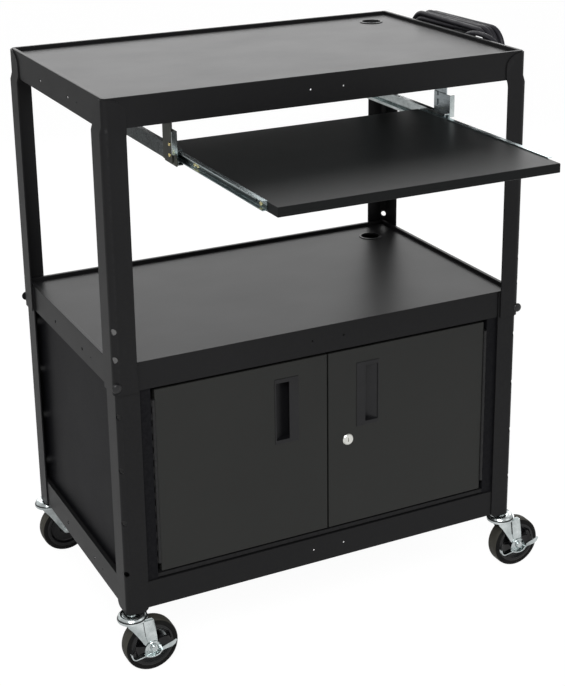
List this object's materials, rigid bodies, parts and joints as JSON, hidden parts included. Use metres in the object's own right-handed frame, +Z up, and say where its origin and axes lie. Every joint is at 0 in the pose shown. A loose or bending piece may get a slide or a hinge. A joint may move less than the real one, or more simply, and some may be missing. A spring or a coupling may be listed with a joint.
{
  "type": "projector cart",
  "caption": "Adjustable-height steel projector cart with a lockable two-door cabinet, a pull-out keyboard shelf on ball slides, a power outlet with cord, and swivel casters.",
  "frame": {"origin": "on the floor, below the middle of the shelves", "axes": "+Z up, -Y towards the doors and the pulled-out shelf, +X to the right seen from the front"},
  "size_m": [0.9023, 0.8436, 1.0782],
  "materials": {
    "frame_black": "black powder coat, satin",
    "door_black": "black powder coat, finely textured",
    "hinge_black": "black paint",
    "black_plastic": "matt moulded black",
    "black_steel": "black oxide",
    "zinc": "bright zinc plate",
    "ball_steel": "polished",
    "nickel": "satin nickel plate",
    "brass": "yellow zinc plate",
    "black_laminate": "black laminate on particle board",
    "tread_rubber": "brownish grey rubber",
    "hub_plastic": "glossy black",
    "cord_jacket": "matt dark grey jacket",
    "plug_plastic": "matt dark grey"
  },
  "bodies": {
    "cabinet": {"bottom_shelf": "frame_black", "middle_shelf": "frame_black", "lower_leg_front_left": "frame_black", "lower_leg_front_right": "frame_black", "lower_leg_back_left": "frame_black", "lower_leg_back_right": "frame_black", "cabinet_side_left": "frame_black", "cabinet_side_right": "frame_black", "cabinet_back": "frame_black", "cabinet_sill": "frame_black", "hinge_frame_leaf_left": "hinge_black", "hinge_frame_leaf_right": "hinge_black", "middle_grommet": "black_plastic", "caster_stems": "zinc"},
    "upper_frame": {"top_shelf": "frame_black", "upper_leg_front_left": "frame_black", "upper_leg_front_right": "frame_black", "upper_leg_back_left": "frame_black", "upper_leg_back_right": "frame_black", "leg_bolts": "black_steel", "top_grommet": "black_plastic", "slide_hangers": "zinc", "slide_carriers": "zinc", "slide_rail_left": "zinc", "slide_rail_right": "zinc", "outlet_housing": "black_steel", "outlet_cover": "black_plastic", "strain_relief": "black_plastic", "power_cord_lead": "cord_jacket", "power_cord_hank": "cord_jacket", "power_cord_tail": "cord_jacket", "power_plug": "plug_plastic"},
    "keyboard_shelf": {"keyboard_board": "black_laminate", "slide_runner_left": "zinc", "slide_runner_right": "zinc", "runner_screws": "brass"},
    "slide_cages": {"ball_cages": "zinc", "slide_balls": "ball_steel"},
    "left_door": {"door_left": "door_black", "hinge_door_leaf_left": "hinge_black", "pull_left": "black_plastic"},
    "right_door": {"door_right": "door_black", "hinge_door_leaf_right": "hinge_black", "pull_right": "black_plastic", "lock_barrel": "nickel"},
    "door_lock": {"lock_plug": "nickel"},
    "caster_front_left": {"caster_fork_front_left": "zinc"},
    "wheel_front_left": {"tyre_front_left": "tread_rubber", "wheel_hub_front_left": "hub_plastic"},
    "caster_front_right": {"caster_fork_front_right": "zinc"},
    "wheel_front_right": {"tyre_front_right": "tread_rubber", "wheel_hub_front_right": "hub_plastic"},
    "caster_back_left": {"caster_fork_back_left": "zinc"},
    "wheel_back_left": {"tyre_back_left": "tread_rubber", "wheel_hub_back_left": "hub_plastic"},
    "caster_back_right": {"caster_fork_back_right": "zinc"},
    "wheel_back_right": {"tyre_back_right": "tread_rubber", "wheel_hub_back_right": "hub_plastic"},
    "brake_left": {"brake_lever_left": "zinc"},
    "brake_right": {"brake_lever_right": "zinc"}
  },
  "joints": [
    {"name": "height_adjust", "type": "slide", "parent": "cabinet", "child": "upper_frame", "axis": [0, 0, 1], "range_m": [-0.3048, 0]},
    {"name": "keyboard_slide", "type": "slide", "parent": "upper_frame", "child": "keyboard_shelf", "axis": [0, 1, 0], "range_m": [0, 0.31]},
    {"name": "cage_travel", "type": "slide", "parent": "upper_frame", "child": "slide_cages", "axis": [0, 1, 0], "range_m": [0, 0.155]},
    {"name": "left_door_hinge", "type": "hinge", "parent": "cabinet", "child": "left_door", "pos_m": [-0.341, -0.2493, 0.366], "axis": [0, 0, -1], "range_deg": [0, 150]},
    {"name": "right_door_hinge", "type": "hinge", "parent": "cabinet", "child": "right_door", "pos_m": [0.341, -0.2493, 0.366], "axis": [0, 0, 1], "range_deg": [0, 150]},
    {"name": "lock_turn", "type": "hinge", "parent": "right_door", "child": "door_lock", "pos_m": [0.042, -0.249, 0.366], "axis": [0, 1, 0], "range_deg": [0, 90]},
    {"name": "caster_front_left_swivel", "type": "hinge", "parent": "cabinet", "child": "caster_front_left", "pos_m": [-0.3965, -0.2421, 0.105], "axis": [0, 0, 1], "continuous": true},
    {"name": "wheel_front_left_spin", "type": "hinge", "parent": "caster_front_left", "child": "wheel_front_left", "pos_m": [-0.3645, -0.2421, 0.0508], "axis": [0, 1, 0], "continuous": true},
    {"name": "caster_front_right_swivel", "type": "hinge", "parent": "cabinet", "child": "caster_front_right", "pos_m": [0.3965, -0.2421, 0.105], "axis": [0, 0, 1], "continuous": true},
    {"name": "wheel_front_right_spin", "type": "hinge", "parent": "caster_front_right", "child": "wheel_front_right", "pos_m": [0.4285, -0.2421, 0.0508], "axis": [0, 1, 0], "continuous": true},
    {"name": "caster_back_left_swivel", "type": "hinge", "parent": "cabinet", "child": "caster_back_left", "pos_m": [-0.3965, 0.2421, 0.105], "axis": [0, 0, 1], "continuous": true},
    {"name": "wheel_back_left_spin", "type": "hinge", "parent": "caster_back_left", "child": "wheel_back_left", "pos_m": [-0.3645, 0.2421, 0.0508], "axis": [0, 1, 0], "continuous": true},
    {"name": "caster_back_right_swivel", "type": "hinge", "parent": "cabinet", "child": "caster_back_right", "pos_m": [0.3965, 0.2421, 0.105], "axis": [0, 0, 1], "continuous": true},
    {"name": "wheel_back_right_spin", "type": "hinge", "parent": "caster_back_right", "child": "wheel_back_right", "pos_m": [0.4285, 0.2421, 0.0508], "axis": [0, 1, 0], "continuous": true},
    {"name": "brake_left_rock", "type": "hinge", "parent": "caster_front_left", "child": "brake_left", "pos_m": [-0.3645, -0.2631, 0.0508], "axis": [0, 1, 0], "range_deg": [0, 14]},
    {"name": "brake_right_rock", "type": "hinge", "parent": "caster_front_right", "child": "brake_right", "pos_m": [0.4285, -0.2631, 0.0508], "axis": [0, 1, 0], "range_deg": [0, 14]}
  ],
  "couplings": [
    {"joint": "cage_travel", "follows": "keyboard_slide", "ratio": 0.5}
  ]
}
